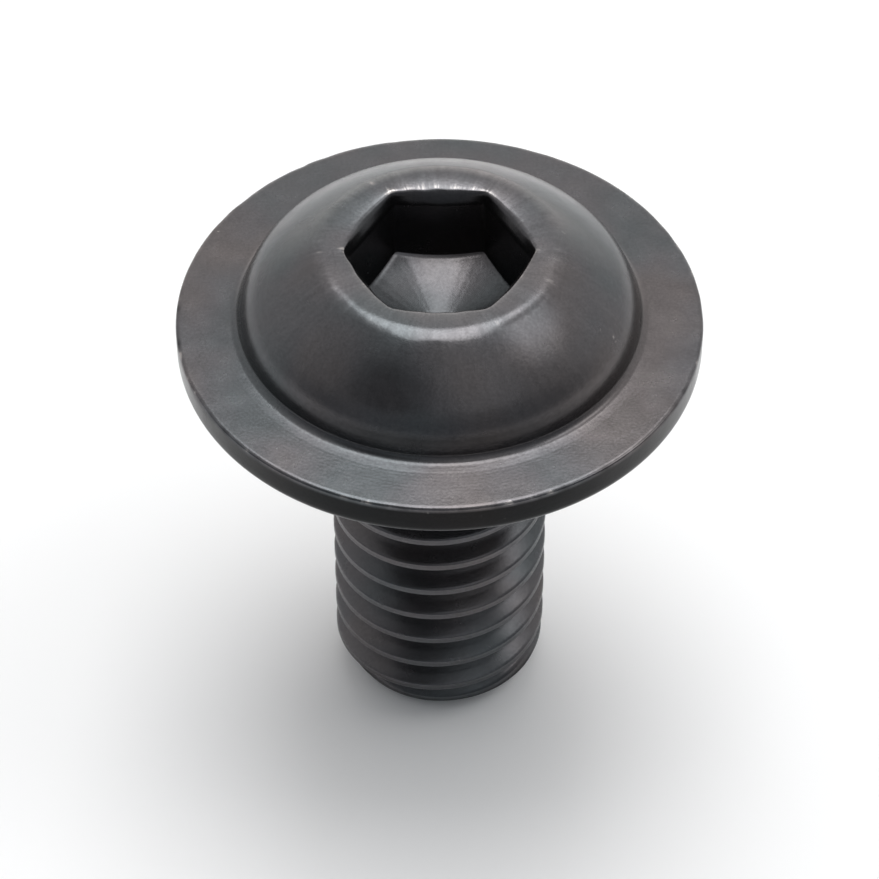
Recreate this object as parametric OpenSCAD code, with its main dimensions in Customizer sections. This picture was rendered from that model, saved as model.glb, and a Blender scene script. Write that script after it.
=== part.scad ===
// Flanged button-head screw with a hexagon socket, fully threaded.
// Millimetres. The origin is the centre of the bearing face under the head,
// +Z runs up through the head, and the screw stands on the flat end of its tip.

/* [Thread] */
// Outer diameter of the thread
thread_d = 5.8; // [5.4:0.1:6.6]
// Distance from one crest of the thread to the next
thread_pitch = 1; // [0.75:0.05:1.25]
// Width of the thread's blunt crest
thread_crest = 0.21; // [0.12:0.01:0.25]
// Length of the shank from the bearing face to the tip
shank_l = 12; // [8:1:25]
// Length of the plain neck between the bearing face and the thread
neck_l = 0.7; // [0.7:0.1:1.5]
// Length over which the thread fades into the neck
runout_l = 0.8; // [0.6:0.1:2]
// How far the edge of the flat tip lies inside the root of the thread
tip_inset = 0.1; // [0.02:0.02:0.3]
// Slope of the tip's chamfer, measured from the flat end
tip_angle = 45; // [30:1:60]

/* [Flange] */
// Diameter of the flange
flange_d = 13.6; // [12.4:0.1:16]
// Height of the flange at its rim
flange_h = 1; // [0.8:0.05:1.4]
// Radius that rounds the lower edge of the rim
rim_round = 0.3; // [0.1:0.05:0.5]
// Width of the broken edge around the top of the rim
rim_break = 0.08; // [0.04:0.02:0.2]
// Fillet between the shank and the bearing face
neck_fillet = 0.45; // [0.4:0.05:0.6]

/* [Dome] */
// Height of the head from the bearing face to the crown
head_h = 3.3; // [2.8:0.1:4.2]
// Diameter of the dome where it meets the flange
dome_d = 10.4; // [9.4:0.1:11.2]
// How far the ball of the dome would reach past its foot
dome_bulge = 0.43; // [0.2:0.01:0.6]
// Radius of the shoulder that turns the ball down to the foot
dome_round = 1.9; // [1.4:0.1:2.4]
// Fillet between the dome and the flange
dome_fillet = 0.25; // [0.1:0.05:0.4]
// Diameter at which the flat crown and the ball of the dome would meet
crown_d = 6.1; // [5.6:0.1:6.8]
// Radius of the soft edge between the crown and the ball
crown_round = 0.9; // [0.3:0.1:1.3]

/* [Socket] */
// Width of the hexagon socket across its flats
socket_af = 4.05; // [3:0.05:4.3]
// Depth of the socket's corners below the crown
socket_depth = 2.05; // [1.6:0.05:2.6]
// Point angle of the conical socket floor
floor_angle = 135; // [115:5:160]
// Width of the flared mouth of the socket across its flats
mouth_af = 4.5; // [4.35:0.05:4.7]
// Depth of the flare below the crown
mouth_depth = 0.4; // [0.2:0.05:0.6]

/* [Hidden] */

steel_black = "#2c2b2c";
// Lets one solid run on into the next, so that they join
lap = 0.3;
$fn = 96;

// Sizes of a 60 degree thread, worked out from its pitch
crest_r = thread_d / 2;
root_w = thread_pitch * 0.15;
flank_w = (thread_pitch - thread_crest - root_w) / 2;
root_r = crest_r - flank_w * sqrt(3);
neck_r = crest_r - (thread_pitch / 2 - thread_crest) * sqrt(3) / 2;
tip_r = root_r - tip_inset;

// One pitch of the thread, as height along the axis and radius
thread_profile = [
    [0, root_r],
    [root_w, root_r],
    [root_w + flank_w, crest_r],
    [root_w + flank_w + thread_crest, crest_r]
];

// The thread is a grid of columns round the axis, each climbing by its share of the pitch
columns = 40;
corners = len(thread_profile);
// The thread's upper end stands a little proud of the neck, which enters it there
neck_step = 0.04;
thread_top = -neck_l;
thread_foot = -shank_l;
turns = ceil((thread_top - thread_foot) / thread_pitch) + 2;
rows = turns * corners;

// Height of a grid point before it is held between the tip and the neck
function climb(column, row) =
    thread_foot + thread_pitch * (floor(row / corners) - 1 + column / columns)
    + thread_profile[row % corners][0];

// Rows below the tip and above the neck fall together on the end points of the column
function first_row(column) = max([for (row = [0 : rows - 1]) if (climb(column, row) <= thread_foot) row]);
function last_row(column) = min([for (row = [0 : rows - 1]) if (climb(column, row) >= thread_top) row]);

// The thread fades to the neck above, and the chamfer cuts it at the tip
function thread_r(row, z) =
    let (full = min(1, (thread_top - z) / runout_l))
    let (faded = (neck_r + neck_step) * (1 - full) + thread_profile[row % corners][1] * full)
    min(faded, tip_r + (z - thread_foot) / tan(tip_angle));

function thread_point(column, row) =
    let (z = max(thread_foot, min(thread_top, climb(column, row))))
    let (turn = 360 * column / columns)
    let (r = thread_r(row, z))
    [r * cos(turn), r * sin(turn), z];

// Right-hand thread with its tip and runout, closed at both ends
module threaded_shank() {
    first = [for (column = [0 : columns - 1]) first_row(column)];
    last = [for (column = [0 : columns - 1]) last_row(column)];
    points = [for (column = [0 : columns - 1]) for (row = [0 : rows - 1]) thread_point(column, row)];
    foot_middle = len(points);
    top_middle = foot_middle + 1;
    // After a whole turn, a column meets the first one a pitch further up
    function at(column, row) =
        column == columns
        ? at(0, row + corners)
        : column * rows + max(first[column], min(last[column], row));
    wall = [
        for (column = [0 : columns - 1])
        for (row = [0 : rows - 2])
        for (face = [
            [at(column, row), at(column + 1, row + 1), at(column + 1, row)],
            [at(column, row), at(column, row + 1), at(column + 1, row + 1)]
        ])
        if (face[0] != face[1] && face[1] != face[2] && face[2] != face[0]) face
    ];
    foot = [for (column = [0 : columns - 1]) [foot_middle, at(column, 0), at(column + 1, 0)]];
    top = [for (column = [0 : columns - 1]) [top_middle, at(column + 1, rows - 1), at(column, rows - 1)]];
    polyhedron(
        points = concat(points, [[0, 0, thread_foot], [0, 0, thread_top]]),
        faces = concat(wall, foot, top)
    );
}

// The top of the dome is a ball through the edge of the crown and a point past the foot
crown_r = crown_d / 2;
dome_r = dome_d / 2;
ball_reach = dome_r + dome_bulge;
ball_z = (head_h + flange_h) / 2 - (ball_reach ^ 2 - crown_r ^ 2) / (2 * (head_h - flange_h));
ball_r = norm([crown_r, head_h - ball_z]);

// The edge of the crown is a circle that touches the crown and the ball from inside
edge_far = ball_r - crown_round;
edge_rise = head_h - crown_round - ball_z;
edge_middle = [sqrt(edge_far ^ 2 - edge_rise ^ 2), head_h - crown_round];
edge_on_crown = edge_middle + [0, 2 * crown_round];
edge_on_ball = edge_middle + [edge_middle[0], edge_rise] * 2 * crown_round / edge_far;

// The shoulder's circle touches the ball from inside and passes through the foot
foot_rise = flange_h - ball_z;
foot_far = norm([dome_r, foot_rise]);
inner_r = ball_r - dome_round;
along_foot = (inner_r ^ 2 - dome_round ^ 2 + foot_far ^ 2) / (2 * foot_far);
beside_foot = sqrt(inner_r ^ 2 - along_foot ^ 2);
shoulder_x = (along_foot * dome_r - beside_foot * foot_rise) / foot_far;
shoulder_z = ball_z + (along_foot * foot_rise + beside_foot * dome_r) / foot_far;
touch_x = shoulder_x * ball_r / inner_r;

// The dome's fillet touches the shoulder and the flat top of the flange
fillet_z = flange_h + dome_fillet;
fillet_x = shoulder_x + sqrt((dome_round + dome_fillet) ^ 2 - (fillet_z - shoulder_z) ^ 2);
fillet_middle = [fillet_x, fillet_z];
to_shoulder = [shoulder_x, shoulder_z] - fillet_middle;
fillet_in_dome = fillet_middle + to_shoulder * 2 * dome_fillet / norm(to_shoulder);

module flange_section() {
    flange_r = flange_d / 2;
    polygon([
        [0, 0],
        [flange_r - rim_round, 0],
        [flange_r, rim_round],
        [flange_r, flange_h - rim_break],
        [flange_r - rim_break, flange_h],
        [0, flange_h]
    ]);
    translate([flange_r - rim_round, rim_round])
        circle(rim_round);
}

module dome_section() {
    difference() {
        intersection() {
            translate([0, ball_z])
                circle(ball_r);
            translate([0, flange_h - lap])
                square([touch_x, head_h - flange_h + lap]);
        }
        difference() {
            polygon([edge_middle, edge_on_crown, edge_on_ball]);
            translate(edge_middle)
                circle(crown_round);
        }
    }
    intersection() {
        translate([shoulder_x, shoulder_z])
            circle(dome_round);
        translate([0, flange_h - lap])
            square([dome_r + dome_round, head_h - flange_h + lap]);
    }
    difference() {
        polygon([
            [0, flange_h - lap],
            [fillet_x, flange_h - lap],
            fillet_middle,
            fillet_in_dome,
            [0, fillet_in_dome[1]]
        ]);
        translate(fillet_middle)
            circle(dome_fillet);
    }
}

module neck_section() {
    translate([0, thread_top - neck_step])
        square([neck_r, neck_l + neck_step + lap]);
    difference() {
        translate([0, -neck_fillet])
            square([neck_r + neck_fillet, neck_fillet + lap]);
        translate([neck_r + neck_fillet, -neck_fillet])
            circle(neck_fillet);
    }
}

// Hexagon socket with a conical floor and a mouth that flares with the hexagon
module socket() {
    corner_r = socket_af / sqrt(3);
    floor_drop = corner_r / tan(floor_angle / 2);
    floor_z = head_h - socket_depth;
    flare = (mouth_af / sqrt(3) - corner_r) / mouth_depth;
    intersection() {
        translate([0, 0, floor_z - floor_drop])
            cylinder(r = corner_r, h = socket_depth + floor_drop + lap, $fn = 6);
        rotate_extrude()
            polygon([
                [0, floor_z - floor_drop],
                [2 * corner_r, floor_z + floor_drop],
                [2 * corner_r, head_h + 2 * lap],
                [0, head_h + 2 * lap]
            ]);
    }
    translate([0, 0, head_h - mouth_depth - lap])
        cylinder(
            r1 = corner_r - flare * lap,
            r2 = corner_r + flare * (mouth_depth + lap),
            h = mouth_depth + 2 * lap,
            $fn = 6
        );
}

module head() {
    difference() {
        rotate_extrude() {
            flange_section();
            dome_section();
            neck_section();
        }
        socket();
    }
}

module screw() {
    color(steel_black) {
        head();
        threaded_shank();
    }
}

screw();
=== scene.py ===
# %% [markdown]
# A flanged button head screw in black oxide steel
#
# The screw is cold forged from wire in one piece: a low dome on a wide flange, with a hexagon
# socket punched into it. The thread is then rolled between dies, and a hot bath turns the
# surface to black oxide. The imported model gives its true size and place, and everything here is
# built around that frame, in metres.

# %% Load the frame
import math

import bpy
import numpy as np
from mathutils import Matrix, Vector


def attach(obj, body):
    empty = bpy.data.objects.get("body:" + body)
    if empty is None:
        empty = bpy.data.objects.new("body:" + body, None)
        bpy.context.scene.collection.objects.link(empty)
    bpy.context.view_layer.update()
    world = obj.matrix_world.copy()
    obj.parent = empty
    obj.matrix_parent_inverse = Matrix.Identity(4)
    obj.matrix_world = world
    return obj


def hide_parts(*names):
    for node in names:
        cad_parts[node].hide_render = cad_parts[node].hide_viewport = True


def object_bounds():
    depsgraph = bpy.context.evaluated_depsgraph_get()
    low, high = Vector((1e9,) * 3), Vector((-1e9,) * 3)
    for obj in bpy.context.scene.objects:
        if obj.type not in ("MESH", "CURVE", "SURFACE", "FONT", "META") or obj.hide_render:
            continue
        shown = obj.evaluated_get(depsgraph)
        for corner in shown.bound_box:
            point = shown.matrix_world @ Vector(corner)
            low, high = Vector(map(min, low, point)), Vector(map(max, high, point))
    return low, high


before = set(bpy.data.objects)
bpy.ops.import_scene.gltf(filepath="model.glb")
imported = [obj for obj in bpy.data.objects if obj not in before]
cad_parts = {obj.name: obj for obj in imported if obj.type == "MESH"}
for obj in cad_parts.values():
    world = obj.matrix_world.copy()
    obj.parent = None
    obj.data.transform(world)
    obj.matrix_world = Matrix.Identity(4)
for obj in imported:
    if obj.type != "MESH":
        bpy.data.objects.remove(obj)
cad_low, cad_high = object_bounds()
MM = 0.001
print("frame:", sorted(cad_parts), "from", list(cad_low), "to", list(cad_high))

# %% [markdown]
# Sizes
#
# The flange, the head and the shank reach as far as the frame does, so those three sizes are
# read from it. A circle in the frame has many straight sides, so the flange takes the shortest
# of its reaches. The rest are the sizes of a 6 mm screw of this kind, in millimetres. The origin
# is the centre of the bearing face under the head, and +Z points up through the head.

# %% Sizes in millimetres
flange_r = min(*cad_high.xy, *(-cad_low).xy) / MM
head_h = cad_high.z / MM
shank_l = -cad_low.z / MM

flange_h = 1.0
rim_round = 0.3
rim_edge = 0.08
dome_r = 5.2
dome_bulge = 0.43
dome_round = 1.9
dome_fillet = 0.25
crown_r = 3.05
crown_round = 0.9
socket_af = 4.05
socket_depth = 2.05
socket_floor_angle = 135
mouth_af = 4.5
mouth_depth = 0.4

pitch = 1.0
crest_r = 2.9
crest_w = 0.21
root_w = 0.15 * pitch
root_r = crest_r - (pitch - crest_w - root_w) * math.sqrt(3) / 2
neck_r = crest_r - (pitch / 2 - crest_w) * math.sqrt(3) / 2
neck_l = 0.7
neck_fillet = 0.45
runout_l = 0.8
tip_inset = 0.1
tip_r = root_r - tip_inset
print(f"flange {2 * flange_r:.2f} mm wide, head {head_h:.2f} mm high, shank {shank_l:.2f} mm long")

# %% [markdown]
# The outline of the dome
#
# The dome is part of a ball. A soft edge leads from the ball to the flat crown, a tighter
# shoulder turns the ball down to its foot, and a fillet carries it into the flange. Each of those
# arcs touches its neighbours, so its centre follows from theirs.

# %% Circles of the dome
ball_reach = dome_r + dome_bulge
ball_z = (head_h + flange_h) / 2 - (ball_reach**2 - crown_r**2) / (2 * (head_h - flange_h))
ball_r = math.hypot(crown_r, head_h - ball_z)

edge_z = head_h - crown_round
edge_x = math.sqrt((ball_r - crown_round) ** 2 - (edge_z - ball_z) ** 2)

foot_far = math.hypot(dome_r, flange_h - ball_z)
inner_r = ball_r - dome_round
along_foot = (inner_r**2 - dome_round**2 + foot_far**2) / (2 * foot_far)
beside_foot = math.sqrt(inner_r**2 - along_foot**2)
shoulder_x = (along_foot * dome_r - beside_foot * (flange_h - ball_z)) / foot_far
shoulder_z = ball_z + (along_foot * (flange_h - ball_z) + beside_foot * dome_r) / foot_far

fillet_z = flange_h + dome_fillet
fillet_x = shoulder_x + math.sqrt((dome_round + dome_fillet) ** 2 - (fillet_z - shoulder_z) ** 2)
print(f"ball of {ball_r:.2f} mm radius, crown flat to {edge_x:.2f} mm, fillet ends at {fillet_x:.2f} mm")

# %% [markdown]
# The skin, ring by ring
#
# A turned or forged round part can be made by spinning an outline, by bevelled cylinders, or by
# stacking rings of points. Rings are used here, because each ring may leave the circle: that
# gives the hexagon of the socket, the nicks in an edge and the climb of the thread in one closed
# skin. The rings run from the middle of the socket floor, out over the head and down the shank.
# Each point also carries a value from -1, darkest, through 0 to 1, brightest. It holds real wear,
# rubbed bright, and also painted shade in creases, in the socket, under the rim and on the front,
# and painted highlights at the back of the lip, on the rim's lower edge and on the thread's crests.

# %% Rings and arcs
COLUMNS = 240
turn = np.arange(COLUMNS) * 2 * math.pi / COLUMNS
rng = np.random.default_rng(6)
rings = []


def ring(radius, height, wear_and_light=0.0):
    """Adds one ring; each value is a number or one number a column."""
    values = (radius, height, wear_and_light)
    rings.append([np.broadcast_to(np.asarray(v, float), COLUMNS).copy() for v in values])


def arc(centre, radius, start, end, steps, wear_and_light=0.0):
    """Adds rings along an arc of the outline, from one angle to another, both ends included."""
    for angle in np.radians(np.linspace(start, end, steps)):
        ring(centre[0] + radius * math.cos(angle), centre[1] + radius * math.sin(angle), wear_and_light)


def ripple(waves, size):
    """A smooth random wave round the axis, up to about the given size."""
    counts = np.arange(2, waves)
    shifts = rng.uniform(0, 2 * math.pi, len(counts))
    heights = rng.normal(0, 1, len(counts)) / np.sqrt(len(counts))
    return size * (heights[:, None] * np.cos(counts[:, None] * turn + shifts[:, None])).sum(0)


def soft_min(a, b, blend):
    """The smaller of two values, with a round corner where they cross."""
    return (a + b - np.sqrt((a - b) ** 2 + blend**2)) / 2


# 1 at the very front or back of the head, as the camera sees it, and 0 from 60 degrees to either side.
# The front mask places painted shade and the back mask a painted highlight.
front_painted_shade = np.clip(-2 * np.sin(turn) - 1, 0, 1)
back_painted_highlight = np.clip(2 * np.sin(turn) - 1, 0, 1)
print(COLUMNS, "columns round the axis")

# %% [markdown]
# The hexagon
#
# A hexagon punch makes the socket and drags the edge of its mouth outwards, most of all on the
# flats, so the mouth is rounder than the walls. Every column knows how far the hexagon reaches at
# its angle, so the floor, the walls and the mouth all follow from one formula.

# %% Reach of the walls and of the mouth
hexagon = 1 / np.cos(turn % (math.pi / 3) - math.pi / 6)
corner_share = (hexagon - 1) / (2 / math.sqrt(3) - 1)
corner_r = socket_af / math.sqrt(3)
corner_blend = 0.02
walls = soft_min(socket_af / 2 * hexagon, corner_r - corner_blend, corner_blend)
mouth_corner_cut = 0.13
mouth_wobble = ripple(28, 0.012)
mouth = walls + (mouth_af - socket_af) / 2 - mouth_corner_cut * corner_share + mouth_wobble
print(f"walls reach {walls.min():.2f} to {walls.max():.2f} mm from the axis")
print(f"mouth reaches {mouth.min():.2f} to {mouth.max():.2f} mm")

# %% [markdown]
# Socket floor and walls
#
# The point of the punch leaves a shallow cone for a floor. The point is worn round and was turned
# on a lathe, so the middle of the cone is blunt and fine grooves run round it. The floor is painted
# darker in the middle, a painted shade deep in the socket, and a little lighter towards its rim, a
# faint painted highlight.

# %% Socket floor and walls
floor_slope = 1 / math.tan(math.radians(socket_floor_angle / 2))
floor_apex = head_h - socket_depth - corner_r * floor_slope
point_round = 0.5
groove_w = 0.11
groove_h = 0.0016
floor_shares = np.linspace(0.03, 0.95, 38)
floor_radii = floor_shares[:, None] * walls
groove_reach = 10
groove_places = np.arange(0, groove_reach, groove_w)
groove_heights = rng.uniform(-groove_h, groove_h, len(groove_places))
floor_grooves = np.interp(floor_radii, groove_places, groove_heights)
floor_grooves += floor_shares[:, None] * ripple(44, groove_h / 2)
# Painted shade in the middle of the floor, fading to a faint painted highlight at its rim
floor_shade_and_highlight = 0.8 * floor_shares - 0.55
for radius, groove, wear_and_light in zip(floor_radii, floor_grooves, floor_shade_and_highlight):
    from_wall = np.hypot(walls, point_round) - np.hypot(radius, point_round)
    ring(radius, floor_apex + (walls - from_wall) * floor_slope + groove, wear_and_light)

wall_foot = floor_apex + walls * floor_slope
wall_top = head_h - mouth_depth
foot_round = 0.05
for inward, up in ((0.35, 0.15), (0.08, 0.5), (0, 1)):
    ring(walls - inward * foot_round, wall_foot + up * foot_round)
for share in (0.33, 0.66, 0.97):
    ring(walls, wall_foot + share * (wall_top - wall_foot))
print(len(rings), "rings from the socket floor to the top of the walls")

# %% [markdown]
# Mouth and crown
#
# The mouth flares out to a lip, and the crown dips a little towards it, because the punch takes
# some of the crown with it. The flare is painted darker deeper in the socket, a painted shade. A
# small burr stands at each corner, and the lip is rubbed bright in patches, with a painted highlight
# at the back, as the camera sees it.

# %% Flare, lip and crown
crown_dip = 0.05
dip_w = edge_x - mouth_af / 2
lip_z = head_h - crown_dip * ((edge_x - mouth) / dip_w) ** 2
flare = (mouth - walls) / (lip_z - wall_top)
# The flare carries painted shade, darkest next to the walls
for share in (0.04, 0.35, 0.65, 0.9):
    flare_z = wall_top + share * (lip_z - wall_top)
    ring(walls + flare * (flare_z - wall_top), flare_z, -0.6 + 0.4 * share)

lip_round = 0.04
burr_h = 0.02
dragged = np.clip(0.35 + ripple(40, 0.3), 0, 0.9)
burr_sizes = rng.uniform(0.4, 1.0, 6)
nearest_corner = np.round(turn / (math.pi / 3)).astype(int) % 6
burrs = burr_sizes[nearest_corner] * corner_share**4
ring(mouth + 0.3 * lip_round, lip_z - 0.2 * lip_round, dragged + burrs)
# On the crown next to the lip: patchy rubbing and burrs, and a painted highlight at the back
for share in (0.1, 0.25, 0.45, 0.7, 1.0):
    reach = mouth + share * (edge_x - mouth)
    dip = crown_dip * ((edge_x - reach) / dip_w) ** 2
    near_lip = (1 - share) ** 2
    lip_wear_and_highlight = 0.3 + (0.4 * dragged + burrs) * near_lip + 0.4 * back_painted_highlight * (1 - share)
    ring(reach, head_h - dip + burr_h * burrs * near_lip, lip_wear_and_highlight)
print(len(rings), "rings from the socket floor to the crown")

# %% [markdown]
# Crown edge and dome
#
# The rings follow the circles of the outline. Hands and boxes scuff the crown's edge. The corner
# at the foot of the dome is painted darker, a painted shade that is strongest on the front, and on
# the front a painted shade also darkens the lower shoulder.

# %% Crown edge, dome and fillet
edge_end = math.atan2(edge_x, edge_z - ball_z)
dome_turn = math.atan2(shoulder_x, shoulder_z - ball_z)
dome_end = math.atan2(fillet_x - shoulder_x, fillet_z - shoulder_z)
edge_wobble = ripple(26, 0.01)
scuffs = np.clip(0.25 + ripple(60, 0.24), 0, 0.55)
for share in np.linspace(0, 1, 12)[1:]:
    angle = share * edge_end
    hump = 4 * share * (1 - share)
    radius = edge_x + crown_round * math.sin(angle) + edge_wobble * hump
    ring(radius, edge_z + crown_round * math.cos(angle), 0.3 * (1 - share) + scuffs * hump)
for angle in np.linspace(edge_end, dome_turn, 18)[1:]:
    ring(ball_r * math.sin(angle), ball_z + ball_r * math.cos(angle))

# The painted shade on the front of the shoulder begins and ends softly, at these shares of the way down
# the shoulder
shoulder_shade_shares = (0.55, 0.69, 0.85, 0.92)
shoulder_shade_depths = (0, -0.7, -0.7, 0)
for share in np.linspace(0, 1, 26)[1:]:
    angle = dome_turn + share * (dome_end - dome_turn)
    front_shoulder_shade = front_painted_shade * np.interp(share, shoulder_shade_shares, shoulder_shade_depths)
    ring(shoulder_x + dome_round * math.sin(angle), shoulder_z + dome_round * math.cos(angle), front_shoulder_shade)

fillet_start = math.degrees(math.atan2(shoulder_z - fillet_z, shoulder_x - fillet_x)) % 360
# Painted shade in the corner at the dome's foot, deeper on the front
arc((fillet_x, fillet_z), dome_fillet, fillet_start + 4, 205, 3, -0.2 - 0.25 * front_painted_shade)
arc((fillet_x, fillet_z), dome_fillet, 214, 264, 7)
print(len(rings), "rings down to the dome's foot")

# %% [markdown]
# Flange
#
# The top of the flange falls a few hundredths of a millimetre to the rim, a little faster right
# beside the dome. The forging die was turned on a lathe, and its fine rings show on the flange,
# strongest near the dome. They are real ripples up to a thousandth of a millimetre high, because
# a bump in the material would leave the mesh smooth.

# %% Flange
flange_edge_r = flange_r - rim_edge
flange_fall = 0.03
foot_fall = 0.009
foot_w = 0.26
turning_feed = 0.115
turning_h = 0.001
rings_a_feed = 4
marks = int((flange_edge_r - fillet_x) / turning_feed)
mark_number = np.arange(marks)
mark_heights = turning_h * rng.uniform(0.2, 1.0, marks)
mark_heights *= np.exp(-mark_number / 4) * (1 - np.exp(-mark_number))
for step in range(1, marks * rings_a_feed):
    radius = fillet_x + step * turning_feed / rings_a_feed
    wave = math.sin(2 * math.pi * step / rings_a_feed)
    near_foot = max(0, 1 - (radius - fillet_x) / foot_w)
    fall = flange_fall * (radius - fillet_x) / (flange_edge_r - fillet_x)
    fall += foot_fall * (1 - near_foot**2)
    ring(radius, flange_h - fall + mark_heights[step // rings_a_feed] * wave)
print(len(rings), "rings down to the flange's edge, with", marks, "turning marks")

# %% [markdown]
# Rim and underside
#
# The rim is nearly sharp above, where the dies met, and round below. Screws knock against each
# other in the box, so the sharp edge is nicked and worn bright. Each nick pushes the edge in a
# little, over a few columns. The side of the rim, its round lower edge, the bearing face and the
# neck are painted darker, a painted shade under the head, and a thin painted highlight runs along
# the lower edge.

# %% Rim, bearing face and neck
rim_top = flange_h - flange_fall - foot_fall
side_top = rim_top - 1.2 * rim_edge
edge_rows = range(len(rings), len(rings) + 4)
knocks = np.clip(0.25 + ripple(90, 0.55), -0.7, 1)
ring(flange_edge_r, rim_top, 0.6 * knocks)
ring(flange_edge_r + 0.6 * rim_edge, rim_top - 0.2 * rim_edge, knocks)
ring(flange_r - 0.1 * rim_edge, rim_top - 0.6 * rim_edge, knocks)
# Painted shade on the side of the rim, with the random knocks
ring(flange_r, side_top, 0.3 * knocks - 0.5)
for share in (0.1, 0.4, 0.7):
    ring(flange_r, rim_round + (1 - share) * (side_top - rim_round), -1)

lower_edge = (flange_r - rim_round, rim_round)
# A thin painted highlight along the round lower edge, between painted shade above and below it
lower_edge_highlight = np.clip(0.5 + ripple(50, 0.5), -0.5, 1)
arc(lower_edge, rim_round, 0, -22, 3, -1)
arc(lower_edge, rim_round, -28, -36, 2, lower_edge_highlight)
arc(lower_edge, rim_round, -43, -90, 5, -0.6)
# Painted shade on the bearing face, the neck fillet and the neck, under the head
bearing_r = neck_r + neck_fillet
for share in np.linspace(0, 1, 10)[1:-1]:
    ring(flange_r - rim_round + share * (bearing_r - flange_r + rim_round), 0, -0.3)
arc((bearing_r, -neck_fillet), neck_fillet, 90, 180, 9, -0.6)
ring(neck_r, -neck_l, -0.6)

# %% Nicks in the rim
nick_count = 46
nick_weights = (0.3, 0.9, 1.0, 0.5)
wear_a_mm = 36
for _ in range(nick_count):
    nick_turn = rng.uniform(0, 2 * math.pi)
    nick_w = rng.uniform(0.12, 0.3)
    nick_depth = rng.uniform(0.003, 0.012)
    away = ((turn - nick_turn + math.pi) % (2 * math.pi) - math.pi) * flange_r
    dent = nick_depth * np.exp(-((away / nick_w) ** 2))
    for edge_row, weight in zip(edge_rows, nick_weights):
        rings[edge_row][0] -= weight * dent
        rings[edge_row][1] -= 0.5 * weight * dent
        rings[edge_row][2] += wear_a_mm * weight * dent
print(len(rings), "rings down to the neck, with", nick_count, "nicks in the rim")

# %% [markdown]
# The rolled thread
#
# One pitch of a 60 degree thread is a formula: a V, rounded at the root and blunted at the crest,
# where rolling leaves a shallow seam between two raised lips. Each column climbs by its share of
# the pitch, and after a whole turn it meets the first column one pitch further up. The thread
# fades into the neck above, and the chamfer of the tip cuts it below.

# %% One pitch of the thread
half_steps = [0.05, 0.09, 0.22, 0.355, 0.395, 0.425, 0.465]
steps_in_pitch = np.array([-u for u in half_steps[::-1]] + [0] + half_steps + [0.5])
ROWS_A_PITCH = len(steps_in_pitch)
thread_top = -neck_l
tip_edge = 0.05
thread_foot = -shank_l + tip_edge
turns = math.ceil((thread_top - thread_foot) / pitch) + 3
row = np.arange(turns * ROWS_A_PITCH)
along = steps_in_pitch[row % ROWS_A_PITCH]

crest_lift = 0.01
crest_blend = 0.05
root_blend = 0.06
seam_depth = 0.03
seam_w = 0.035
from_root = np.abs(along)
# Halfway up its flank, the V has the radius of the blank that it was rolled from, as the neck has
vee = neck_r + math.sqrt(3) * pitch * (from_root - 0.25)
blunted = soft_min(vee, crest_r + crest_lift, crest_blend)
profile = -soft_min(-blunted, -root_r, root_blend)
profile -= seam_depth * np.exp(-(((from_root - 0.5) / seam_w) ** 2))
# The crest is rubbed a little and carries a painted highlight, and the root is painted darker, a painted
# shade
crest_highlight_and_root_shade = np.clip((from_root - 0.34) / 0.05, 0, 1) * 0.45 - 0.25
print(f"thread {profile.min():.2f} to {profile.max():.2f} mm from the axis, {ROWS_A_PITCH} rows a pitch")

# %% Thread rows
climb = (row // ROWS_A_PITCH - 1)[:, None] + (turn / (2 * math.pi))[None, :]
thread_z = -shank_l + root_w / 2 + pitch * (climb + along[:, None])
full = np.clip((thread_top - thread_z) / runout_l, 0, 1)
full = full * full * (3 - 2 * full)
thread_r = neck_r * (1 - full) + profile[:, None] * full
chamfer = tip_r + thread_z - thread_foot
chamfer_blend = 0.02
thread_r = soft_min(thread_r, chamfer, chamfer_blend)
end_gap = 0.004
between = (thread_z > thread_foot + end_gap) & (thread_z < thread_top - end_gap)
print(f"{(thread_top - thread_foot) / pitch:.1f} turns of thread, {between.sum()} points")

# %% [markdown]
# The tip
#
# The end of the wire was cropped flat, so the tip is a plain disc with a small worn edge. The
# screw stands on it.

# %% Rings of the tip
head_count = len(rings)
ring(tip_r, thread_foot, 0.4)
ring(tip_r - 0.3 * tip_edge, thread_foot - 0.7 * tip_edge, 0.8)
ring(tip_r - tip_edge, -shank_l, 0.6)
for share in np.linspace(0.9, 0.08, 12):
    ring(share * tip_r, -shank_l, 0.1)
print(len(rings) - head_count, "rings on the tip")

# %% [markdown]
# Joining the skin
#
# All rings become one closed mesh. Rows of the thread that would lie above the neck or below the
# tip share the points of the ring there, so no hole and no doubled point is left.

# %% Points
def ring_points(some_rings):
    """Points of a list of rings, in millimetres, and their values of wear and painted light."""
    radius, height, wear_and_light = (np.array([r[k] for r in some_rings]) for k in range(3))
    points = np.stack([radius * np.cos(turn), radius * np.sin(turn), height], axis=-1)
    return points.reshape(-1, 3), wear_and_light.reshape(-1)


head_points, head_wear_and_light = ring_points(rings[:head_count])
tip_points, tip_worn = ring_points(rings[head_count:])
thread_points = np.stack([thread_r * np.cos(turn), thread_r * np.sin(turn), thread_z], axis=-1)
thread_wear_and_light = np.broadcast_to(crest_highlight_and_root_shade[:, None], thread_r.shape) * full
floor_middle = [0, 0, rings[0][1].mean()]
tip_middle = [0, 0, -shank_l]
all_points = np.concatenate([
    [floor_middle], head_points, tip_points, thread_points[between], [tip_middle],
])
all_wear_and_light = np.concatenate([[0], head_wear_and_light, tip_worn, thread_wear_and_light[between], [0.1]])

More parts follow.
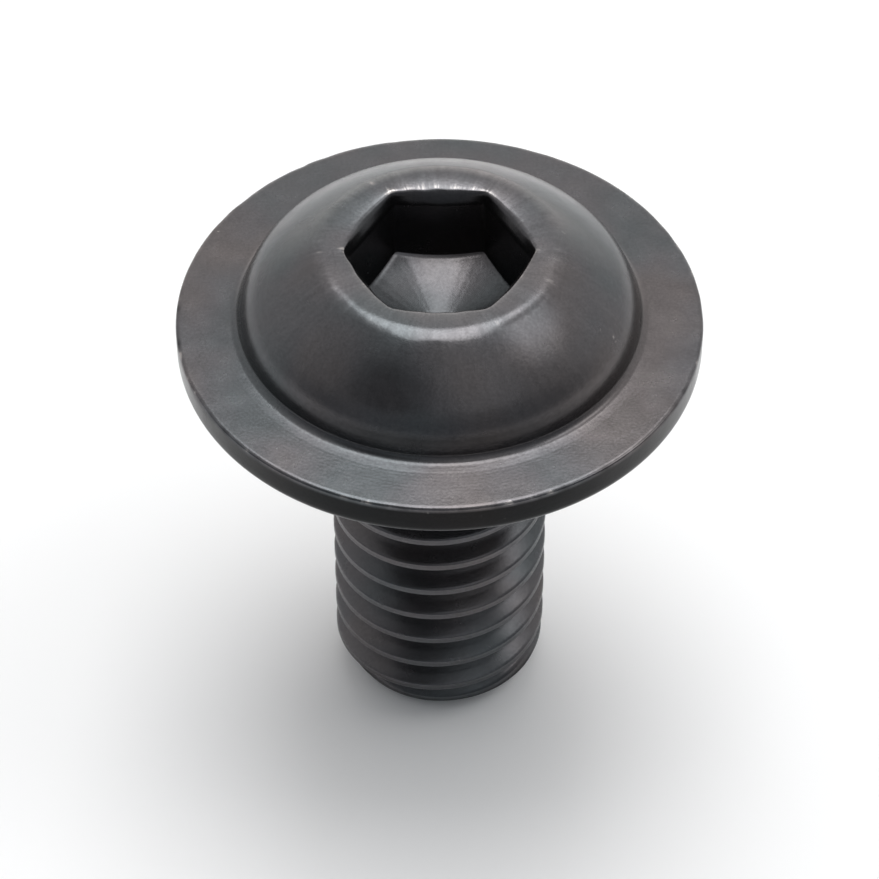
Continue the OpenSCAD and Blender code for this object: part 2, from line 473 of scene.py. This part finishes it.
head_at = 1 + np.arange(len(head_points)).reshape(-1, COLUMNS)
tip_at = 1 + len(head_points) + np.arange(len(tip_points)).reshape(-1, COLUMNS)
thread_start = 1 + len(head_points) + len(tip_points)
thread_at = np.where(thread_z < (thread_top + thread_foot) / 2, tip_at[0], head_at[-1])
thread_at[between] = thread_start + np.arange(between.sum())
last_point = thread_start + between.sum()
print(len(all_points), "points")


# %% Faces
def strips(upper, lower):
    """Four-cornered faces between each upper row of points and the lower row that follows it."""
    grids = (upper[:, :-1], lower[:, :-1], lower[:, 1:], upper[:, 1:])
    return np.stack(grids, axis=-1).reshape(-1, 4).tolist()


def closed(at):
    """A grid of rings with its first column repeated at the end."""
    return np.concatenate([at, at[:, :1]], axis=1)


head_grid = closed(head_at)
tip_grid = closed(tip_at)
spiral = np.concatenate([thread_at[:-ROWS_A_PITCH], thread_at[ROWS_A_PITCH:, :1]], axis=1)
faces = strips(head_grid[:-1], head_grid[1:])
faces += strips(spiral[1:], spiral[:-1])
faces += strips(tip_grid[:-1], tip_grid[1:])
faces += [[0, a, b] for a, b in zip(head_grid[0, :-1].tolist(), head_grid[0, 1:].tolist())]
faces += [[last_point, b, a] for a, b in zip(tip_grid[-1, :-1].tolist(), tip_grid[-1, 1:].tolist())]
# Where rows share points, a face loses corners: three are still a face, and fewer are none
faces = [list(dict.fromkeys(face)) for face in faces]
faces = [face for face in faces if len(face) > 2]

mesh = bpy.data.meshes.new("screw_body")
mesh.from_pydata((all_points * MM).tolist(), [], faces)
mesh.validate()
mesh.shade_smooth()
# The values of wear and painted light go to the material as an attribute
mesh.attributes.new("wear_and_painted_light", "FLOAT", "POINT").data.foreach_set("value", all_wear_and_light)
screw_body = bpy.data.objects.new("screw_body", mesh)
bpy.context.scene.collection.objects.link(screw_body)
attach(screw_body, "root")
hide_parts("screw")
print(len(mesh.vertices), "points,", sum(len(p.vertices) - 2 for p in mesh.polygons), "triangles")

# %% [markdown]
# Colours and nodes
#
# Colours are written as sRGB hex values, as a colour picker shows them, and one function turns
# them to the linear values that the renderer counts in. One more function adds a node, sets its
# inputs and links it, so that a material reads from top to bottom.

# %% Helpers for materials
def linear(hex_colour, strength=1.0):
    """The linear colour of an sRGB hex value such as #555456, times a strength for a light."""
    parts = [int(hex_colour[k:k + 2], 16) / 255 for k in (1, 3, 5)]
    parts = [p / 12.92 if p <= 0.04045 else ((p + 0.055) / 1.055) ** 2.4 for p in parts]
    return [strength * p for p in parts] + [1.0]


def add_node(tree, kind, inputs=None, **settings):
    """Adds a node; inputs holds a value, or an output to link, for each input it names."""
    made = tree.nodes.new("ShaderNode" + kind)
    for name, value in settings.items():
        setattr(made, name, value)
    for name, value in (inputs or {}).items():
        if isinstance(value, bpy.types.NodeSocket):
            tree.links.new(value, made.inputs[name])
        else:
            made.inputs[name].default_value = value
    return made


def new_material(name):
    """An empty material, and its node tree."""
    material = bpy.data.materials.new(name)
    material.use_nodes = True
    material.node_tree.nodes.clear()
    return material, material.node_tree


def per_mm(size):
    """Scale of a pattern whose features are this many millimetres across."""
    return 1 / (size * MM)


# A Mix node of colours gives its result in its third output
MIXED = 2
coat_grey = linear("#555456")
print("the coat's grey in linear values:", [round(part, 3) for part in coat_grey])

# %% [markdown]
# Black oxide steel
#
# Black oxide is a skin of magnetite a thousandth of a millimetre thick, grown in a hot salt bath
# and then oiled. It is a dark, satin, half-metallic coat: it mirrors its surroundings at about a
# tenth of their brightness, and more at a glancing angle. The bath leaves faint brown and blue
# clouds a few millimetres wide, and the forged steel below gives it a fine grain. The real grain
# is finer still, and is drawn coarse enough for a picture to show it.

# %% Clouds and grain
black_oxide, oxide_tree = new_material("black_oxide_steel")
place = add_node(oxide_tree, "TexCoord").outputs["Object"]
clouds = add_node(oxide_tree, "TexNoise", {
    "Vector": place, "Scale": per_mm(3.4), "Detail": 2.0, "Roughness": 0.5,
}).outputs["Fac"]
cloud_tints = add_node(oxide_tree, "ValToRGB", {"Fac": clouds})
bluish, brownish = cloud_tints.color_ramp.elements
bluish.position = 0.36
bluish.color = linear("#4f5254")
brownish.position = 0.66
brownish.color = linear("#5a5656")
cloud_tints.color_ramp.elements.new(0.5).color = coat_grey

grain = add_node(oxide_tree, "TexNoise", {
    "Vector": place, "Scale": per_mm(0.07), "Detail": 2.0, "Roughness": 0.5,
}).outputs["Fac"]
mottle = add_node(oxide_tree, "MapRange", {
    "Value": grain, "From Min": 0.3, "From Max": 0.7, "To Min": 0.88, "To Max": 1.12,
}).outputs["Result"]
print("clouds and grain:", len(oxide_tree.nodes), "nodes")

# %% [markdown]
# Painted shade, streaks, wear and painted highlights
#
# The value that the rings carry goes both ways. Below zero it darkens the coat: mostly painted
# shade, and random dark patches on the rim's edge. Above zero, the coat is rubbed thin and at last
# worn through to bare steel, and in some places this is a painted highlight. Rubbing leaves streaks
# that run outwards from the socket, so the noise is stretched: it changes fast round the axis and
# slowly along the surface. A few pits show bare steel as well.

# %% Coat and bare steel
edge = add_node(oxide_tree, "Attribute", attribute_name="wear_and_painted_light").outputs["Fac"]
# Below zero: painted shade, and random dark patches
dark_patches_and_painted_shade = add_node(oxide_tree, "MapRange", {
    "Value": edge, "From Min": -1.0, "From Max": 0.0, "To Min": 0.1, "To Max": 1.0,
}).outputs["Result"]

streak_w = 0.12
streak_l = 0.7
flat = add_node(oxide_tree, "VectorMath", {0: place, 1: (1, 1, 0)}, operation="MULTIPLY").outputs[0]
outward = add_node(oxide_tree, "VectorMath", {0: flat}, operation="NORMALIZE").outputs[0]
along_streak = add_node(oxide_tree, "VectorMath", {
    0: place, "Scale": per_mm(streak_l),
}, operation="SCALE").outputs[0]
streak_place = add_node(oxide_tree, "VectorMath", {
    0: outward, 1: (crown_r / streak_w,) * 3, 2: along_streak,
}, operation="MULTIPLY_ADD").outputs[0]
streaks = add_node(oxide_tree, "TexNoise", {
    "Vector": streak_place, "Scale": 1.0, "Detail": 5.0, "Roughness": 0.6,
}).outputs["Fac"]
# Above zero: rubbing, and painted highlights where the rings carry them
rubbed_and_highlight = add_node(oxide_tree, "Math", {0: edge, 1: streaks}, operation="MULTIPLY").outputs[0]
thinned_and_highlight = add_node(oxide_tree, "MapRange", {
    "Value": rubbed_and_highlight, "From Min": 0.0, "From Max": 0.5, "To Min": 1.0, "To Max": 1.4,
}).outputs["Result"]

# Only the dome and the crown, above the flange, are wiped in streaks all over
above_bearing = add_node(oxide_tree, "SeparateXYZ", {"Vector": place}).outputs["Z"]
on_dome = add_node(oxide_tree, "MapRange", {
    "Value": above_bearing, "From Min": 1.1 * MM, "From Max": 1.6 * MM, "To Min": 0.0, "To Max": 0.25,
}).outputs["Result"]
wiped = add_node(oxide_tree, "MapRange", {
    "Value": streaks, "From Min": 0.3, "From Max": 0.7, "To Min": 0.7, "To Max": 1.3,
}).outputs["Result"]
wiping = add_node(oxide_tree, "Mix", {"Factor": on_dome, "A": 1.0, "B": wiped}).outputs["Result"]

spread = add_node(oxide_tree, "Math", {0: dark_patches_and_painted_shade, 1: thinned_and_highlight}, operation="MULTIPLY").outputs[0]
grained = add_node(oxide_tree, "Math", {0: mottle, 1: wiping}, operation="MULTIPLY").outputs[0]
shade = add_node(oxide_tree, "Math", {0: grained, 1: spread}, operation="MULTIPLY").outputs[0]
# The coat's colour, with its painted shade and painted highlights
coat = add_node(oxide_tree, "VectorMath", {
    0: cloud_tints.outputs["Color"], "Scale": shade,
}, operation="SCALE").outputs[0]

worn_through_and_highlight = add_node(oxide_tree, "MapRange", {
    "Value": rubbed_and_highlight, "From Min": 0.3, "From Max": 0.6, "To Min": 0.0, "To Max": 0.7,
}, interpolation_type="SMOOTHSTEP").outputs["Result"]
pitting = add_node(oxide_tree, "TexNoise", {
    "Vector": place, "Scale": per_mm(0.3), "Detail": 3.0, "Roughness": 0.6,
}).outputs["Fac"]
specks = add_node(oxide_tree, "MapRange", {
    "Value": pitting, "From Min": 0.74, "From Max": 0.8, "To Min": 0.0, "To Max": 0.5,
}).outputs["Result"]
# Bare steel from wear and from painted highlights, and from pits
bare = add_node(oxide_tree, "Math", {0: worn_through_and_highlight, 1: specks}, operation="MAXIMUM").outputs[0]
colour = add_node(oxide_tree, "Mix", {
    "Factor": bare, "A": coat, "B": linear("#a8a3a0"),
}, data_type="RGBA").outputs[MIXED]
print("coat and bare steel:", len(oxide_tree.nodes), "nodes")

# %% [markdown]
# Satin surface
#
# The coat is satin, a little glossier in some places than in others. Forging leaves waves about a
# millimetre long and a hundredth high, which bend the reflections without changing the outline,
# so a bump is enough for them and for the grain.

# %% Roughness, bump and shader
satin = add_node(oxide_tree, "TexNoise", {
    "Vector": place, "Scale": per_mm(0.6), "Detail": 3.0,
}).outputs["Fac"]
roughness = add_node(oxide_tree, "MapRange", {
    "Value": satin, "From Min": 0.3, "From Max": 0.7, "To Min": 0.21, "To Max": 0.28,
}).outputs["Result"]
forging = add_node(oxide_tree, "TexNoise", {
    "Vector": place, "Scale": per_mm(1.2), "Detail": 2.0, "Roughness": 0.5,
}).outputs["Fac"]
waves = add_node(oxide_tree, "Bump", {
    "Height": forging, "Strength": 1.0, "Distance": 0.012 * MM,
}).outputs["Normal"]
texture = add_node(oxide_tree, "Bump", {
    "Height": grain, "Strength": 0.4, "Distance": 0.004 * MM, "Normal": waves,
}).outputs["Normal"]
oxide_shader = add_node(oxide_tree, "BsdfPrincipled", {
    "Base Color": colour, "Metallic": 0.92, "Roughness": roughness, "Normal": texture,
})
add_node(oxide_tree, "OutputMaterial", {"Surface": oxide_shader.outputs["BSDF"]})
mesh.materials.append(black_oxide)
print("material:", black_oxide.name, "with", len(oxide_tree.nodes), "nodes")

# %% [markdown]
# The floor
#
# The screw stands on a wide sheet of white paper. It is matt, so it shows only the soft shadow of
# the screw.

# %% Floor
floor_size = 3.0
half = floor_size / 2
floor_z = cad_low.z
floor_mesh = bpy.data.meshes.new("floor")
floor_mesh.from_pydata(
    [(-half, -half, floor_z), (half, -half, floor_z), (half, half, floor_z), (-half, half, floor_z)],
    [], [(0, 1, 2, 3)],
)
floor = bpy.data.objects.new("floor", floor_mesh)
bpy.context.scene.collection.objects.link(floor)

paper, paper_tree = new_material("white_paper")
paper_shader = add_node(paper_tree, "BsdfPrincipled", {"Base Color": linear("#f4f4f4"), "Roughness": 0.9})
add_node(paper_tree, "OutputMaterial", {"Surface": paper_shader.outputs["BSDF"]})
floor_mesh.materials.append(paper)
print("floor:", floor_size, "m square")

# %% [markdown]
# The soft box
#
# One large soft box hangs over the screw and a little behind it, as over a table for product
# photographs. It gives the soft shadow, and the crown's front edge mirrors it.

# %% Soft box
soft_box = bpy.data.lights.new("soft_box", "AREA")
soft_box.shape = "RECTANGLE"
soft_box.size = 0.19
soft_box.size_y = 0.28
soft_box.energy = 0.68
lamp = bpy.data.objects.new("soft_box", soft_box)
lamp_lift = math.radians(74.5)
lamp_far = 0.36
lamp.location = (0, lamp_far * math.cos(lamp_lift), lamp_far * math.sin(lamp_lift))
lamp.rotation_euler = (lamp_lift - math.radians(90), 0, 0)
bpy.context.scene.collection.objects.link(lamp)
print("soft box:", soft_box.energy, "W")

# %% [markdown]
# The studio
#
# A dark shiny part shows little but its surroundings. The studio is dim on the camera's side, or
# the round front of the dome would mirror white and lose its shape. It is white behind, with a
# brighter screen far at the back that the flange mirrors. Each of these is a field of the world's
# colour that changes softly with the way one looks.

# %% Dim side, white side and screen
studio = bpy.data.worlds.new("studio")
studio.use_nodes = True
bpy.context.scene.world = studio
world_tree = studio.node_tree
world_tree.nodes.clear()
look = add_node(world_tree, "TexCoord").outputs["Generated"]
look_parts = add_node(world_tree, "SeparateXYZ", {"Vector": look}).outputs

upward = add_node(world_tree, "MapRange", {
    "Value": look_parts["Z"], "From Min": 0.2, "From Max": 0.72,
}, interpolation_type="SMOOTHSTEP").outputs["Result"]
dim_side = add_node(world_tree, "Mix", {
    "Factor": upward, "A": linear("#7d8186"), "B": linear("#9b9ea1"),
}, data_type="RGBA").outputs[MIXED]
across = add_node(world_tree, "MapRange", {
    "Value": look_parts["X"], "From Min": -0.7, "From Max": 0.7,
}, interpolation_type="SMOOTHSTEP").outputs["Result"]
white_side = add_node(world_tree, "Mix", {
    "Factor": across, "A": linear("#e2e2e2"), "B": linear("#efefef"),
}, data_type="RGBA").outputs[MIXED]
backward = add_node(world_tree, "MapRange", {
    "Value": look_parts["Y"], "From Min": -0.5, "From Max": 0.45,
}, interpolation_type="SMOOTHSTEP").outputs["Result"]
sides = add_node(world_tree, "Mix", {
    "Factor": backward, "A": dim_side, "B": white_side,
}, data_type="RGBA").outputs[MIXED]
far_back = add_node(world_tree, "MapRange", {
    "Value": look_parts["Y"], "From Min": 0.71, "From Max": 0.98,
}).outputs["Result"]
surround = add_node(world_tree, "Mix", {
    "Factor": far_back, "A": sides, "B": linear("#fffaf6", 1.78),
}, data_type="RGBA").outputs[MIXED]
print("studio:", len(world_tree.nodes), "nodes")

# %% [markdown]
# Window, cards and horizon
#
# Photographers shape a shiny part with cards. A small window high on the right puts a soft light
# on the dome. A black card on the left and a grey one on the right, both above the camera, give
# the front of the dome a dark and a light half. All three are round patches with soft edges.
# Along the horizon the walls are pale, and the rim and the thread mirror them.

# %% Window, cards and horizon
cards = {
    "window": ((0.58, 0.05, 0.81), 17, linear("#ffffff", 2.6)),
    "black card": ((-0.4, -0.52, 0.755), 24, linear("#5d5d5f")),
    "grey card": ((0.3, -0.46, 0.835), 23, linear("#cbced1")),
}
lit = surround
for way, reach_degrees, tone in cards.values():
    nearness = add_node(world_tree, "VectorMath", {
        0: look, 1: Vector(way).normalized(),
    }, operation="DOT_PRODUCT").outputs["Value"]
    inside = add_node(world_tree, "MapRange", {
        "Value": nearness, "From Min": math.cos(math.radians(reach_degrees)), "From Max": 1.0,
    }, interpolation_type="SMOOTHSTEP").outputs["Result"]
    lit = add_node(world_tree, "Mix", {
        "Factor": inside, "A": lit, "B": tone,
    }, data_type="RGBA").outputs[MIXED]

low = add_node(world_tree, "MapRange", {
    "Value": look_parts["Z"], "From Min": 0.1, "From Max": 0.05,
}).outputs["Result"]
with_horizon = add_node(world_tree, "Mix", {
    "Factor": low, "A": lit, "B": linear("#cbcbcb"),
}, data_type="RGBA", blend_type="LIGHTEN").outputs[MIXED]
backdrop = add_node(world_tree, "Background", {"Color": with_horizon, "Strength": 1.15})
add_node(world_tree, "OutputWorld", {"Surface": backdrop.outputs["Background"]})
bpy.context.scene.view_settings.view_transform = "Standard"
print("studio with", ", ".join(cards), "and horizon:", len(world_tree.nodes), "nodes")

# %% [markdown]
# The camera
#
# The photograph looks down on the head at 45 degrees, square to two corners of the socket, from
# about nine centimetres away. The camera stands there and is turned to a point just above the
# middle of the screw.

# %% Camera
camera_lift = math.radians(45.1)
camera_far = 91 * MM
image_px = 879
px_per_mm = 38.5
camera_data = bpy.data.cameras.new("camera")
camera_data.sensor_width = 36
camera_data.lens = camera_data.sensor_width * px_per_mm * (camera_far / MM) / image_px
camera_data.clip_start = 0.005
camera = bpy.data.objects.new("camera", camera_data)
camera.location = (0, -camera_far * math.cos(camera_lift), camera_far * math.sin(camera_lift))
aim = (cad_low + cad_high) / 2 + Vector((0, 0, 0.6 * MM))
camera.rotation_euler = (aim - camera.location).to_track_quat("-Z", "Y").to_euler()
bpy.context.scene.collection.objects.link(camera)
bpy.context.scene.camera = camera
print(f"camera: lens {camera_data.lens:.1f} mm")
